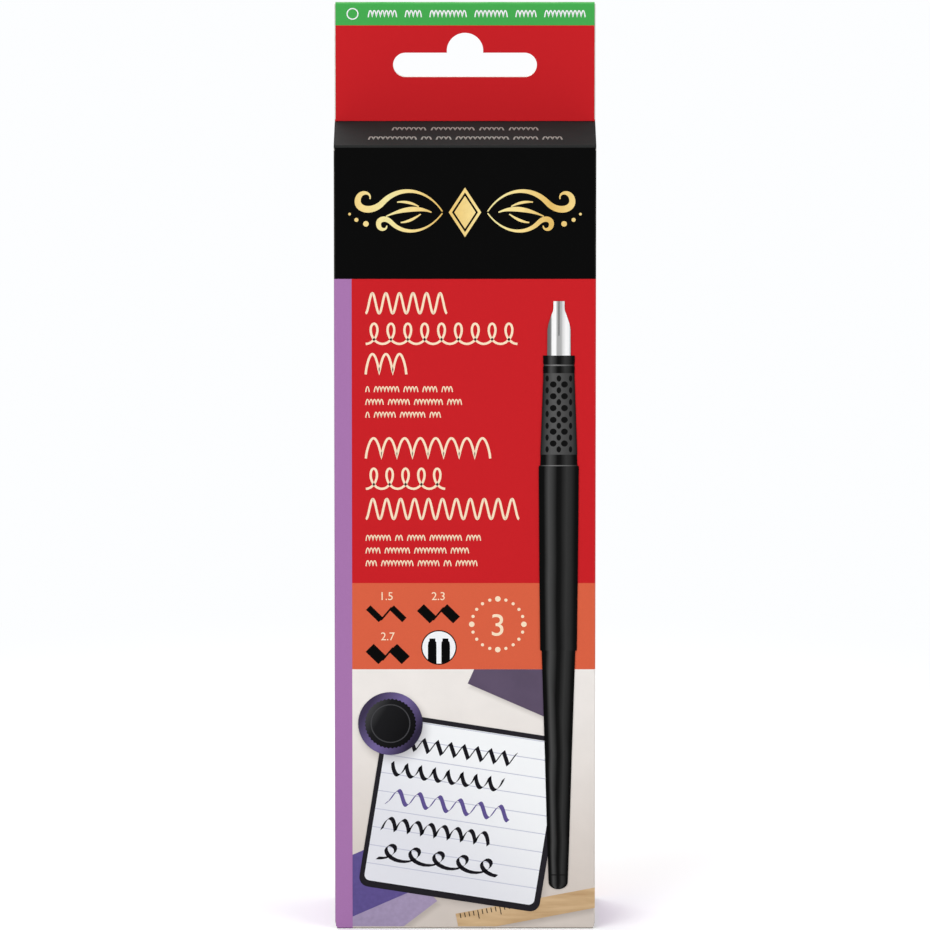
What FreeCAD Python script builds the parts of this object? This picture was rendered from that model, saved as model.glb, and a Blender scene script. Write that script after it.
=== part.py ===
"""Calligraphy set box: a hanging carton of printed board that holds a card tray.

The tray holds a pen, two spare nib units, the pen's cap and two ink cartridges.
Frame: origin at the middle of the carton's base, +Z up, +X to the right, +Y away from the viewer.
"""

import FreeCAD, Part
import os
import re

import Sketcher

# Driving dimensions in millimetres, in degrees where the name ends in angle, and plain shares.
SIZES = {
    # Carton
    "box_width": 58,
    "box_depth": 28,
    "board": 0.5,
    "crease_bevel": 0.3,
    "flap_inset": 0.4,
    "flap_gap": 0.15,
    # Hang tab and its slot
    "tab_height": 27,
    "tab_ply_inset": 0.2,
    "slot_width": 32,
    "slot_height": 5.5,
    "slot_rise": 10.1,
    "hump_width": 8.1,
    "hump_rise": 4.5,
    # Lid, tuck flap and dust flaps
    "lid_rear_gap": 0.3,
    "tuck_length": 10.5,
    "tuck_lean_angle": 24,
    "tuck_inset": 1.6,
    "tuck_corner_radius": 5,
    "tuck_crease": 0.3,
    "tuck_clearance": 1.45,
    "dust_flap_length": 22,
    "dust_front_inset": 1.5,
    "dust_rear_inset": 3,
    "dust_taper_angle": 32,
    # Card tray
    "tray_gap": 0.3,
    "seat_gap": 0.2,
    "well_web": 2,
    "well_offset": 2,
    "well_gap": 0.1,
    "front_gap": 0.6,
    "column_share": 0.3,
    # Leaflet
    "leaflet_margin": 3.5,
    "leaflet_thickness": 1,
    "leaflet_gap": 0.15,
    "leaflet_short": 14,
    # Pen barrel and tail
    "barrel_length": 51.5,
    "barrel_diameter": 10.7,
    "barrel_end_diameter": 9.8,
    "barrel_bore": 7.9,
    "tail_length": 62,
    "tail_diameter": 9.2,
    "tail_end_diameter": 5,
    "tail_round": 2,
    "tail_plug_length": 6,
    "fit_gap": 0.05,
    # Section: the grip that holds a nib and its feed
    "spigot_length": 9,
    "band_length": 3.2,
    "band_diameter": 9.9,
    "grip_length": 22.4,
    "grip_rear_diameter": 9.6,
    "grip_front_diameter": 8.3,
    "collar_length": 4.2,
    "collar_diameter": 8,
    "collar_groove": 1,
    "collar_groove_depth": 0.4,
    "ink_bore": 4.6,
    "nib_bore": 6.1,
    "nib_seat_depth": 12,
    # Nib and feed
    "nib_length": 16,
    "nib_tang": 8,
    "nib_diameter": 5.9,
    "nib_thickness": 0.3,
    "nib_shoulder": 9,
    "nib_neck": 3,
    "nib_slit": 0.2,
    "nib_hole": 1,
    "broad_tip": 2.7,
    "medium_tip": 2.3,
    "fine_tip": 1.5,
    "feed_diameter": 5,
    "feed_reach": 10,
    "feed_tip": 1,
    # Cap
    "cap_length": 48,
    "cap_diameter": 12.8,
    "cap_top_diameter": 12.2,
    "cap_bore": 11.2,
    "cap_crown": 2,
    "cap_round": 1.2,
    "liner_length": 18,
    "liner_wall": 0.6,
    "clip_width": 3.2,
    "clip_length": 34,
    "clip_thickness": 0.6,
    "clip_stand": 1.2,
    "clip_tab_length": 5,
    # Ink cartridges
    "cartridge_length": 38.5,
    "cartridge_diameter": 7.4,
    "cartridge_wall": 0.6,
    "neck_length": 4,
    "neck_diameter": 4.4,
    "shoulder_length": 2,
    # How far a cutting tool stands out of what it cuts
    "overrun": 1,
}

# Places and lengths that follow from the sizes above, each from the ones before it.
PLACES = {
    "front_inner": "board - box_depth / 2",
    "back_inner": "box_depth / 2 - 2 * board",
    "section_length": "band_length + grip_length + collar_length",
    "pen_length": "tail_length + barrel_length + section_length + nib_length",
    "unit_length": "spigot_length + section_length + nib_length",
    "cartridge_pitch": "cartridge_length + 2 * seat_gap + well_web",
    "cap_pitch": "cap_length + clip_thickness + 2 * seat_gap + well_web",
    "middle_length": "2 * cartridge_pitch + unit_length",
    "right_length": "cap_pitch + unit_length",
    "tray_width": "box_width - 2 * board - 2 * tray_gap",
    "tray_height": "max(pen_length; middle_length; right_length) + 2 * well_web + 2 * seat_gap",
    "tray_base": "3 * board + seat_gap",
    "well_base": "tray_base + well_web + seat_gap",
    "dust_flap_base": "tray_base + tray_height + tuck_length + tuck_clearance",
    "lid_base": "dust_flap_base + board + flap_gap",
    "box_height": "lid_base + board",
    "tab_top": "box_height + tab_height",
    "lid_length": "box_depth - 2 * board - lid_rear_gap",
    "axis_depth": "front_inner + front_gap + clip_thickness + clip_stand + cap_diameter / 2",
    "platform_face": "axis_depth + well_offset",
    "leaflet_width": "box_width - 2 * board - 2 * leaflet_margin",
    "tray_rear": "back_inner - leaflet_thickness - 2 * leaflet_gap",
    "column": "column_share * tray_width",
    "barrel_front": "well_base + tail_length + barrel_length",
}

NAME = re.compile(r"[a-z][a-z_]*")
PLANES = {"flat": "XY_Plane", "upright": "XZ_Plane", "side": "YZ_Plane"}

doc = FreeCAD.newDocument("calligraphy_set_box")
nodes = []


def expression(formula):
    """The formula with each size and place named through its sheet."""

    def through_sheet(word):
        name = word.group()
        if name in SIZES:
            return "sizes." + name
        if name in PLACES:
            return "places." + name
        return name

    return NAME.sub(through_sheet, formula)


def make_sheets():
    """One sheet of driving numbers and one of what follows from them."""
    sizes = doc.addObject("Spreadsheet::Sheet", "sizes")
    for row, (name, number) in enumerate(SIZES.items(), 1):
        sizes.set(f"A{row}", name)
        sizes.set(f"B{row}", str(number))
        sizes.setAlias(f"B{row}", name)
    doc.recompute()
    places = doc.addObject("Spreadsheet::Sheet", "places")
    for row, (name, formula) in enumerate(PLACES.items(), 1):
        own_names = expression(formula).replace("places.", "")
        places.set(f"A{row}", name)
        places.set(f"B{row}", "=" + own_names)
        places.setAlias(f"B{row}", name)
        doc.recompute()
    return sizes


sizes = make_sheets()


def value(formula):
    return float(sizes.evalExpression(expression(formula)))


def bind(thing, **formulas):
    for name, formula in formulas.items():
        thing.setExpression(name, expression(formula))


def place(thing, x, y, z):
    for axis, formula in zip("xyz", (x, y, z)):
        thing.setExpression(f"Placement.Base.{axis}", expression(formula))
    return thing


def turn(thing, axis, degrees):
    thing.Placement.Rotation = FreeCAD.Rotation(FreeCAD.Vector(*axis), degrees)
    return thing


def node(label, thing):
    """Keeps a finished sub-part under the name of its file."""
    thing.Label = label
    nodes.append(thing)
    return thing


# Building blocks


def block(name, size, corner):
    """A square-edged plate or bar from its lowest corner."""
    bar = doc.addObject("Part::Box", name)
    bind(bar, Length=size[0], Width=size[1], Height=size[2])
    return place(bar, *corner)


def rod(name, radius, length, base, axis=None, degrees=0):
    """A round bar along Z from its base, turned if an axis is given."""
    bar = doc.addObject("Part::Cylinder", name)
    bind(bar, Radius=radius, Height=length)
    if axis:
        turn(bar, axis, degrees)
    return place(bar, *base)


def fused(name, *things):
    whole = doc.addObject("Part::MultiFuse", name)
    whole.Shapes = list(things)
    return whole


def cut(name, base, tool):
    rest = doc.addObject("Part::Cut", name)
    rest.Base = base
    rest.Tool = tool
    return rest


def common(name, *things):
    shared = doc.addObject("Part::MultiCommon", name)
    shared.Shapes = list(things)
    return shared


def draw(sketch, outline):
    """A closed outline of straight sides, with every corner held by its two formulas."""
    corners = [FreeCAD.Vector(value(x), value(y), 0) for x, y in outline]
    following = corners[1:] + corners[:1]
    sketch.addGeometry([Part.LineSegment(a, b) for a, b in zip(corners, following)], False)
    for side, point in enumerate(outline):
        before = (side - 1) % len(outline)
        sketch.addConstraint(Sketcher.Constraint("Coincident", before, 2, side, 1))
        for kind, formula, axis in (("DistanceX", point[0], -2), ("DistanceY", point[1], -1)):
            if formula == "0":
                sketch.addConstraint(Sketcher.Constraint("PointOnObject", side, 1, axis))
                continue
            held = Sketcher.Constraint(kind, side, 1, value(formula))
            number = sketch.addConstraint(held)
            sketch.setExpression(f"Constraints[{number}]", expression(formula))


def profile(name, plane, outline):
    """A body with one sketch on one of its own planes."""
    body = doc.addObject("PartDesign::Body", name)
    sketch = body.newObject("Sketcher::SketchObject", name + "_outline")
    role = PLANES[plane]
    origin_plane = next(p for p in body.Origin.OriginFeatures if p.Role == role)
    sketch.AttachmentSupport = (origin_plane, [""])
    sketch.MapMode = "FlatFace"
    draw(sketch, outline)
    return body, sketch


def prism(name, plane, outline, thickness):
    """A plate cut to an outline. It grows along +Z, -Y or +X on a flat, upright or side plane."""
    body, sketch = profile(name, plane, outline)
    pad = body.newObject("PartDesign::Pad", name + "_pad")
    pad.Profile = sketch
    bind(pad, Length=thickness)
    return body


def turned(name, outline):
    """A part turned about Z, from its outline of radius and height."""
    body, sketch = profile(name, "upright", outline)
    solid = body.newObject("PartDesign::Revolution", name + "_turning")
    solid.Profile = sketch
    solid.ReferenceAxis = (sketch, ["V_Axis"])
    return body


def rounded(body, radius, wanted):
    """Rounds the body's edges that the test picks by their middle and direction."""
    doc.recompute()
    base = body.Tip
    picked = []
    for number, edge in enumerate(base.Shape.Edges, 1):
        if wanted(edge):
            picked.append(f"Edge{number}")
    fillet = body.newObject("PartDesign::Fillet", body.Name + "_round")
    fillet.Base = (base, picked)
    bind(fillet, Radius=radius)
    return body


# Carton


def front_panel():
    """The printed front, mitred and bevelled at its two side creases."""
    outline = [
        ("crease_bevel - box_width / 2", "0"),
        ("box_width / 2 - crease_bevel", "0"),
        ("box_width / 2 - crease_bevel / 2", "crease_bevel / 2"),
        ("box_width / 2 - board", "board"),
        ("board - box_width / 2", "board"),
        ("crease_bevel / 2 - box_width / 2", "crease_bevel / 2"),
    ]
    panel = prism("front_panel", "flat", outline, "lid_base - board")
    node("front_panel", place(panel, "0", "-box_depth / 2", "board"))


def side_panels():
    """The two sides, mitred to the front and square against the hanger panel."""
    for label, inward, outer in (
        ("left_side_panel", "", "-box_width / 2"),
        ("right_side_panel", "-", "box_width / 2"),
    ):
        outline = [
            ("0", "crease_bevel"),
            ("0", "box_depth - board"),
            (inward + "board", "box_depth - board"),
            (inward + "board", "board"),
            (inward + "crease_bevel / 2", "crease_bevel / 2"),
        ]
        panel = prism(label, "flat", outline, "dust_flap_base - 3 * board")
        node(label, place(panel, outer, "-box_depth / 2", "3 * board"))


def back_panel():
    """The inner layer of the double back."""
    width = "box_width - 2 * board - 2 * flap_gap"
    panel = block(
        "back_panel",
        (width, "board", "box_height - 2 * board"),
        (f"-({width}) / 2", "back_inner", "2 * board"),
    )
    node("back_panel", panel)


def slot_tool():
    """The hanging slot: a bar with round ends and a round hump in the middle."""
    start = "back_inner - overrun"
    depth = "2 * board + 2 * overrun"
    low = "box_height + slot_rise"
    ends = "(slot_width - slot_height) / 2"
    along_y = {"axis": (-1, 0, 0), "degrees": 90}
    bar = block("slot_bar", (f"2 * {ends}", depth, "slot_height"), (f"-{ends}", start, low))
    middle = low + " + slot_height / 2"
    left = rod("slot_left", "slot_height / 2", depth, (f"-{ends}", start, middle), **along_y)
    right = rod("slot_right", "slot_height / 2", depth, (ends, start, middle), **along_y)
    top = low + " + slot_height + hump_rise - hump_width / 2"
    hump = rod("slot_hump", "hump_width / 2", depth, ("0", start, top), **along_y)
    return fused("slot_tool", bar, left, right, hump)


def hang_tab():
    """The outer back layer that runs up into the tab, and the ply folded over the tab's top edge."""
    slot = slot_tool()
    sheet = block(
        "hanger_sheet",
        ("box_width", "board", "tab_top - 3 * board"),
        ("-box_width / 2", "box_depth / 2 - board", "2 * board"),
    )
    node("hanger_panel", cut("hanger_panel", sheet, slot))

    width = "box_width - 2 * tab_ply_inset"
    left = "tab_ply_inset - box_width / 2"
    ply = block(
        "ply_sheet",
        (width, "board", "tab_height - board - flap_gap"),
        (left, "back_inner", "box_height + flap_gap"),
    )
    fold = doc.addObject("Part::Cylinder", "ply_fold")
    fold.Angle = 180
    bind(fold, Radius="board", Height=width)
    turn(fold, (1, 1, 1), 120)
    place(fold, left, "box_depth / 2 - board", "tab_top - board")
    node("tab_front_ply", cut("tab_front_ply", fused("ply_folded", ply, fold), slot))


def base_panels():
    """The glued base: outer panel, inner panel and two dust flaps, each lying on the one below."""
    outline = [
        ("0", "board"),
        ("0", "crease_bevel"),
        ("crease_bevel", "0"),
        ("box_depth", "0"),
        ("box_depth", "board"),
    ]
    width = "box_width - 2 * flap_inset"
    left = "flap_inset - box_width / 2"
    outer = prism("bottom_outer_panel", "side", outline, width)
    node("bottom_outer_panel", place(outer, left, "-box_depth / 2", "0"))

    inner = block(
        "bottom_inner_panel",
        (width, "box_depth - board - flap_gap", "board"),
        (left, "front_inner + flap_gap", "board"),
    )
    node("bottom_inner_panel", inner)

    for label, corner in (
        ("bottom_dust_flap_left", "-box_width / 2"),
        ("bottom_dust_flap_right", "box_width / 2 - dust_flap_length"),
    ):
        flap = block(
            label,
            ("dust_flap_length", "box_depth - 3 * board - 2 * flap_gap", "board"),
            (corner, "front_inner + flap_gap", "2 * board"),
        )
        node(label, flap)


def lid():
    """The lid, bevelled at both creases, and its tuck flap, which leans in behind the back panel."""
    outline = [
        ("0", "0"),
        ("0", "board - crease_bevel"),
        ("crease_bevel", "board"),
        ("lid_length - crease_bevel", "board"),
        ("lid_length", "board - crease_bevel"),
        ("lid_length", "0"),
    ]
    panel = prism("lid_panel", "side", outline, "box_width")
    node("lid_panel", place(panel, "-box_width / 2", "-box_depth / 2", "lid_base"))

    half = "box_width / 2 - tuck_inset"
    outline = [
        (f"-({half})", "-tuck_crease"),
        (half, "-tuck_crease"),
        (half, "-tuck_length"),
        (f"-({half})", "-tuck_length"),
    ]
    flap = prism("lid_tuck_flap", "upright", outline, "board")
    low = -value("tuck_length")

    def lower_corner(edge):
        ends = [v.Z for v in edge.Vertexes]
        across = abs(edge.Vertexes[0].X - edge.Vertexes[-1].X)
        return max(abs(z - low) for z in ends) < value("fit_gap") and across < value("fit_gap")

    rounded(flap, "tuck_corner_radius", lower_corner)
    turn(flap, (-1, 0, 0), SIZES["tuck_lean_angle"])
    flap.setExpression("Placement.Rotation.Angle", expression("tuck_lean_angle"))
    node("lid_tuck_flap", place(flap, "0", "lid_length - box_depth / 2", "lid_base"))


def top_dust_flaps():
    """The flaps under the lid, cut back at the front so that the lid clears them as it rises."""
    rear = "box_depth - 2 * board - dust_rear_inset"
    taper = "dust_front_inset + dust_flap_length * tan(dust_taper_angle)"
    for label, inward, outer in (
        ("top_dust_flap_left", "", "-box_width / 2"),
        ("top_dust_flap_right", "-", "box_width / 2"),
    ):
        outline = [
            ("0", "dust_front_inset"),
            (inward + "dust_flap_length", taper),
            (inward + "dust_flap_length", rear),
            ("0", rear),
        ]
        flap = prism(label, "flat", outline, "board")
        node(label, place(flap, outer, "-box_depth / 2", "dust_flap_base"))


# Card tray and leaflet


def well(name, across, x, base, length):
    """A slot in the platform for a round thing, whose axis lies in front of the platform."""
    half = f"(sqrt(({across} / 2)^2 - well_offset^2) + well_gap)"
    return block(
        name,
        (f"2 * {half}", "board + 2 * overrun", f"{length} + 2 * seat_gap"),
        (f"{x} - {half}", "platform_face - overrun", f"{base} - seat_gap"),
    )


def tray():
    """A folded tray: a platform with a well for each thing, two side walls, a head and a foot."""
    second = "well_base + cartridge_pitch"
    third = "well_base + 2 * cartridge_pitch"
    wells = fused(
        "wells",
        well("well_pen", "barrel_diameter", "-column", "well_base", "pen_length"),
        well("well_cartridge_lower", "cartridge_diameter", "0", "well_base", "cartridge_length"),
        well("well_cartridge_upper", "cartridge_diameter", "0", second, "cartridge_length"),
        well("well_medium", "band_diameter", "0", third, "unit_length"),
        well("well_cap", "cap_diameter", "column", "well_base", "cap_length + clip_thickness"),
        well("well_fine", "band_diameter", "column", "well_base + cap_pitch", "unit_length"),
    )
    left = "-tray_width / 2"
    sheet = block(
        "platform_sheet",
        ("tray_width", "board", "tray_height"),
        (left, "platform_face", "tray_base"),
    )
    node("tray_platform", cut("tray_platform", sheet, wells))

    behind = "platform_face + board"
    depth = "tray_rear - platform_face - board"
    for label, x in (("tray_left_wall", left), ("tray_right_wall", "tray_width / 2 - board")):
        wall = block(label, ("board", depth, "tray_height"), (x, behind, "tray_base"))
        node(label, wall)
    for label, z in (
        ("tray_foot_wall", "tray_base"),
        ("tray_head_wall", "tray_base + tray_height - board"),
    ):
        wall = block(label, ("tray_width - 2 * board", depth, "board"), (left + " + board", behind, z))
        node(label, wall)


def leaflet():
    """A folded instruction sheet between the tray and the back."""
    sheet = block(
        "instruction_leaflet",
        ("leaflet_width", "leaflet_thickness", "tray_height - leaflet_short"),
        ("-leaflet_width / 2", "tray_rear + leaflet_gap", "tray_base"),
    )
    node("instruction_leaflet", sheet)


# Pen, nib units, cap and ink


def section(label, x, base):
    """A turned grip: spigot, band, tapered grip and grooved collar, bored for feed and ink."""
    grip_end = "band_length + grip_length"
    land = f"{grip_end} + (collar_length - collar_groove) / 2"
    groove_radius = "collar_diameter / 2 - collar_groove_depth"
    seat = "section_length - nib_seat_depth"
    outline = [
        ("ink_bore / 2", "-spigot_length"),
        ("barrel_bore / 2 - fit_gap", "-spigot_length"),
        ("barrel_bore / 2 - fit_gap", "0"),
        ("band_diameter / 2", "0"),
        ("band_diameter / 2", "band_length"),
        ("grip_rear_diameter / 2", "band_length"),
        ("grip_front_diameter / 2", grip_end),
        ("collar_diameter / 2", grip_end),
        ("collar_diameter / 2", land),
        (groove_radius, land),
        (groove_radius, f"{land} + collar_groove"),
        ("collar_diameter / 2", f"{land} + collar_groove"),
        ("collar_diameter / 2", "section_length"),
        ("nib_bore / 2", "section_length"),
        ("nib_bore / 2", seat),
        ("ink_bore / 2", seat),
    ]
    node(label, place(turned(label, outline), x, "axis_depth", base))


def nib(label, tip, x, base):
    """A broad-edged nib: a rolled sheet cut to an outline, with a slit up to its breather hole."""
    low = f"{base} + section_length - nib_tang"
    front = f"{base} + section_length"
    point = f"{front} + nib_length"
    outer = rod(label + "_outer", "nib_diameter / 2", "nib_tang + nib_length", (x, "axis_depth", low))
    inner = rod(
        label + "_inner",
        "nib_diameter / 2 - nib_thickness",
        "nib_tang + nib_length",
        (x, "axis_depth", low),
    )
    half = "nib_diameter / 2 - nib_thickness / 2"
    outline = [
        (f"-({half})", "-nib_tang"),
        (half, "-nib_tang"),
        (half, "nib_shoulder"),
        (f"{tip} / 2", "nib_length - nib_neck"),
        (f"{tip} / 2", "nib_length"),
        (f"-{tip} / 2", "nib_length"),
        (f"-{tip} / 2", "nib_length - nib_neck"),
        (f"-({half})", "nib_shoulder"),
    ]
    shape = prism(label + "_shape", "upright", outline, "nib_diameter")
    place(shape, x, "axis_depth", front)
    rolled = common(label + "_rolled", cut(label + "_tube", outer, inner), shape)

    hole_at = f"{front} + nib_shoulder / 2"
    reach = "nib_diameter / 2 + overrun"
    slit = block(
        label + "_slit",
        ("nib_slit", reach, f"{point} + overrun - ({hole_at})"),
        (f"{x} - nib_slit / 2", f"axis_depth - ({reach})", hole_at),
    )
    hole = rod(label + "_hole", "nib_hole / 2", reach, (x, "axis_depth", hole_at), (1, 0, 0), 90)
    node(label, cut(label, rolled, fused(label + "_openings", slit, hole)))


def feed(label, x, base):
    """A round feed behind the nib, thinned towards its tip from the back."""
    seat = f"{base} + section_length - nib_seat_depth"
    length = "nib_seat_depth + feed_reach"
    outline = [
        ("-feed_diameter / 2", "0"),
        ("feed_diameter / 2", "0"),
        ("feed_diameter / 2", "nib_seat_depth"),
        ("feed_tip - feed_diameter / 2", length),
        ("-feed_diameter / 2", length),
    ]
    thinned = prism(label + "_side", "side", outline, "feed_diameter")
    place(thinned, f"{x} - feed_diameter / 2", "axis_depth", seat)
    round_bar = rod(label + "_bar", "feed_diameter / 2", length, (x, "axis_depth", seat))
    node(label, common(label, round_bar, thinned))


def nib_unit(names, tip, x, base):
    section(names[0], x, base)
    nib(names[1], tip, x, base)
    feed(names[2], x, base)


def pen():
    """The pen lies nib up in the left column."""
    outline = [
        ("barrel_bore / 2", "-barrel_length"),
        ("barrel_end_diameter / 2", "-barrel_length"),
        ("barrel_diameter / 2", "0"),
        ("barrel_bore / 2", "0"),
    ]
    barrel = place(turned("pen_barrel", outline), "-column", "axis_depth", "barrel_front")
    node("pen_barrel", barrel)

    outline = [
        ("0", "-tail_length"),
        ("tail_end_diameter / 2", "-tail_length"),
        ("tail_diameter / 2", "0"),
        ("barrel_bore / 2 - fit_gap", "0"),
        ("barrel_bore / 2 - fit_gap", "tail_plug_length"),
        ("0", "tail_plug_length"),
    ]
    tail = turned("pen_tail", outline)
    low = -value("tail_length")
    rounded(tail, "tail_round", lambda e: abs(e.CenterOfMass.z - low) < value("fit_gap") and e.Closed)
    node("pen_tail", place(tail, "-column", "axis_depth", "barrel_front - barrel_length"))

    nib_unit(("pen_section", "pen_nib", "pen_feed"), "broad_tip", "-column", "barrel_front")


def spare_units():
    medium = ("spare_section_medium", "spare_nib_medium", "spare_feed_medium")
    nib_unit(medium, "medium_tip", "0", "well_base + 2 * cartridge_pitch + spigot_length")
    fine = ("spare_section_fine", "spare_nib_fine", "spare_feed_fine")
    nib_unit(fine, "fine_tip", "column", "well_base + cap_pitch + spigot_length")


def cap():
    """The cap stands mouth down, with a liner inside and a spring clip held on its crown."""
    under_crown = "cap_length - cap_crown"
    outline = [
        ("cap_bore / 2", "0"),
        ("cap_diameter / 2", "0"),
        ("cap_top_diameter / 2", "cap_length"),
        ("0", "cap_length"),
        ("0", under_crown),
        ("cap_bore / 2", under_crown),
    ]
    shell = turned("cap_shell", outline)
    top = value("cap_length")
    rounded(shell, "cap_round", lambda e: abs(e.CenterOfMass.z - top) < value("fit_gap") and e.Closed)
    node("cap_shell", place(shell, "column", "axis_depth", "well_base"))

    liner_radius = "cap_bore / 2 - fit_gap"
    outline = [
        (f"{liner_radius} - liner_wall", f"{under_crown} - liner_length"),
        (liner_radius, f"{under_crown} - liner_length"),
        (liner_radius, under_crown),
        (f"{liner_radius} - liner_wall", under_crown),
    ]
    liner = place(turned("cap_inner_liner", outline), "column", "axis_depth", "well_base")
    node("cap_inner_liner", liner)

    crown = "well_base + cap_length"
    face = "axis_depth - cap_diameter / 2 - clip_stand - clip_thickness"
    left = "column - clip_width / 2"
    arm = block(
        "clip_arm",
        ("clip_width", "clip_thickness", "clip_length"),
        (left, face, f"{crown} + clip_thickness - clip_length"),
    )
    tab_depth = "clip_thickness + clip_stand + clip_tab_length"
    tab = block("clip_tab", ("clip_width", tab_depth, "clip_thickness"), (left, face, crown))
    heel_radius = "(clip_stand + clip_thickness) / 2 - fit_gap"
    heel_base = (left, f"{face} + {heel_radius} + fit_gap", f"{crown} + clip_stand - clip_length")
    heel = rod("clip_heel", heel_radius, "clip_width", heel_base, (0, 1, 0), 90)
    node("cap_clip", fused("cap_clip", arm, tab, heel))


def cartridges():
    """Two ink cartridges in the middle column, neck up, each closed by a ball."""
    body_end = "cartridge_length - neck_length - shoulder_length"
    neck_start = "cartridge_length - neck_length"
    radius = "cartridge_diameter / 2"
    neck_radius = "neck_diameter / 2"
    outline = [
        ("0", "0"),
        (radius, "0"),
        (radius, body_end),
        (neck_radius, neck_start),
        (neck_radius, "cartridge_length"),
        (f"{neck_radius} - cartridge_wall", "cartridge_length"),
        (f"{neck_radius} - cartridge_wall", neck_start),
        (f"{radius} - cartridge_wall", body_end),
        (f"{radius} - cartridge_wall", "cartridge_wall"),
        ("0", "cartridge_wall"),
    ]
    for which, base in (("lower", "well_base"), ("upper", "well_base + cartridge_pitch")):
        label = "cartridge_" + which
        node(label, place(turned(label, outline), "0", "axis_depth", base))
        ball = doc.addObject("Part::Sphere", "seal_ball_" + which)
        bind(ball, Radius=f"{neck_radius} - cartridge_wall - fit_gap")
        place(ball, "0", "axis_depth", f"{base} + {neck_start} + neck_length / 2")
        node("seal_ball_" + which, ball)


def check_document():
    """Stops if any object failed or any sub-part is empty or broken."""
    doc.recompute()
    for thing in doc.Objects:
        if {"Invalid", "Error"} & set(thing.State):
            raise RuntimeError(f"{thing.Label} failed: {thing.State}")
    for thing in nodes:
        if thing.Shape.isNull() or not thing.Shape.isValid() or not thing.Shape.Solids:
            raise RuntimeError(f"{thing.Label} has no valid solid")


def write_parts():
    os.makedirs("parts", exist_ok=True)
    for thing in nodes:
        thing.Shape.exportStep(f"parts/{thing.Label}.step")


front_panel()
side_panels()
back_panel()
hang_tab()
base_panels()
lid()
top_dust_flaps()
tray()
leaflet()
pen()
spare_units()
cap()
cartridges()
check_document()
write_parts()
print(f"{len(nodes)} sub-parts, height {value('tab_top'):.2f} mm, carton {value('box_height'):.2f} mm")
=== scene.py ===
"""Calligraphy set box: print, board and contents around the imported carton.

Lengths are millimetres until a mesh is made. Every print is a thin layer of ink on a face of the carton.
"""

import math
from functools import partialmethod

import bmesh
import bpy
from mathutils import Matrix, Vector


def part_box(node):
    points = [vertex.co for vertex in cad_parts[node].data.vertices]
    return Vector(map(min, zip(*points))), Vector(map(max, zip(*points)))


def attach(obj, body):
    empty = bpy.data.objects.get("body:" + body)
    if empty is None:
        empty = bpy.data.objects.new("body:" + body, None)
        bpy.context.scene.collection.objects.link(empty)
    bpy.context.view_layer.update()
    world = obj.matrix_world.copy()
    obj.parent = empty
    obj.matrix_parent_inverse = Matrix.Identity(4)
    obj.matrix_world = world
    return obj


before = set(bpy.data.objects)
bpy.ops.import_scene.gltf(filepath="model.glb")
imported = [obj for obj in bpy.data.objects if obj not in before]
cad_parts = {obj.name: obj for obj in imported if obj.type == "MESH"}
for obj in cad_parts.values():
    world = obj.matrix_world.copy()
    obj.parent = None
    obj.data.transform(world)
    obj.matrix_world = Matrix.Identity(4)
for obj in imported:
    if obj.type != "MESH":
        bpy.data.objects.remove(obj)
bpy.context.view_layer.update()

MM = 0.001
X, Y, Z = (Vector(axis) for axis in ((1, 0, 0), (0, 1, 0), (0, 0, 1)))


def corners(node):
    low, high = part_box(node)
    return low / MM, high / MM


# The carton's outer faces.
FRONT_LOW = corners("front_panel")[0]
LID_LOW, LID_HIGH = corners("lid_panel")
TAB_LOW, TAB_HIGH = corners("tab_front_ply")
HALF = (LID_HIGH.x - LID_LOW.x) / 2
FRONT_Y = FRONT_LOW.y
BACK_Y = corners("hanger_panel")[1].y
BASE = FRONT_LOW.z
TOP = LID_HIGH.z
TUCK_TOP = corners("lid_tuck_flap")[1].z
TAB_TOP = TAB_HIGH.z

# Edges of the printed zones.
BAND_LOW = 148.4
ORANGE_HIGH = 79.3
ORANGE_LOW = 59.6
GREEN_TALL = 5.2
GREEN_LOW = TAB_TOP - GREEN_TALL
STRIPE_WIDE = 3.9
STRIPE_X = STRIPE_WIDE - HALF

# How far a print runs over a crease onto the next panel, and onto a dust flap.
BLEED = 0.6
FLAP_BLEED = 5.0

# How near an outer face a board's edge is when it is a fold.
NEAR = 0.02

# Thickness of a layer of ink, and the gap below each layer.
INK = 0.016
INK_GAP = 0.004


def srgb(red, green, blue):
    """A colour as it is seen, from 0 to 255, in linear light."""
    linear = []
    for channel in (red, green, blue):
        share = channel / 255
        linear.append(share / 12.92 if share <= 0.04045 else ((share + 0.055) / 1.055) ** 2.4)
    return (*linear, 1.0)


def grey(tone):
    return srgb(tone, tone, tone)


RED = srgb(200, 33, 39)
ORANGE = srgb(218, 98, 68)
PURPLE = srgb(168, 118, 174)
GREEN = srgb(71, 171, 82)
BLACK = grey(3)
# The lid's black ink, painted lighter than the front's black for the light that falls on its top: painted
# light.
LID_TOPLIT_BLACK = srgb(40, 41, 41)
CREAM = srgb(250, 226, 196)
WHITE = srgb(245, 247, 249)
TABLE = srgb(240, 235, 231)
TABLE_LOW = srgb(212, 202, 194)
VIOLET = srgb(96, 83, 143)
LILAC = srgb(165, 150, 182)
DARK_VIOLET = srgb(88, 76, 97)
RAW_BOARD = srgb(224, 221, 214)
RAW_EDGE = srgb(214, 209, 199)


# Node trees

# Where most of a noise lies, for colour and for roughness.
COLOUR_SPAN = (0.3, 0.7)
ROUGH_SPAN = (0.25, 0.75)


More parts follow.
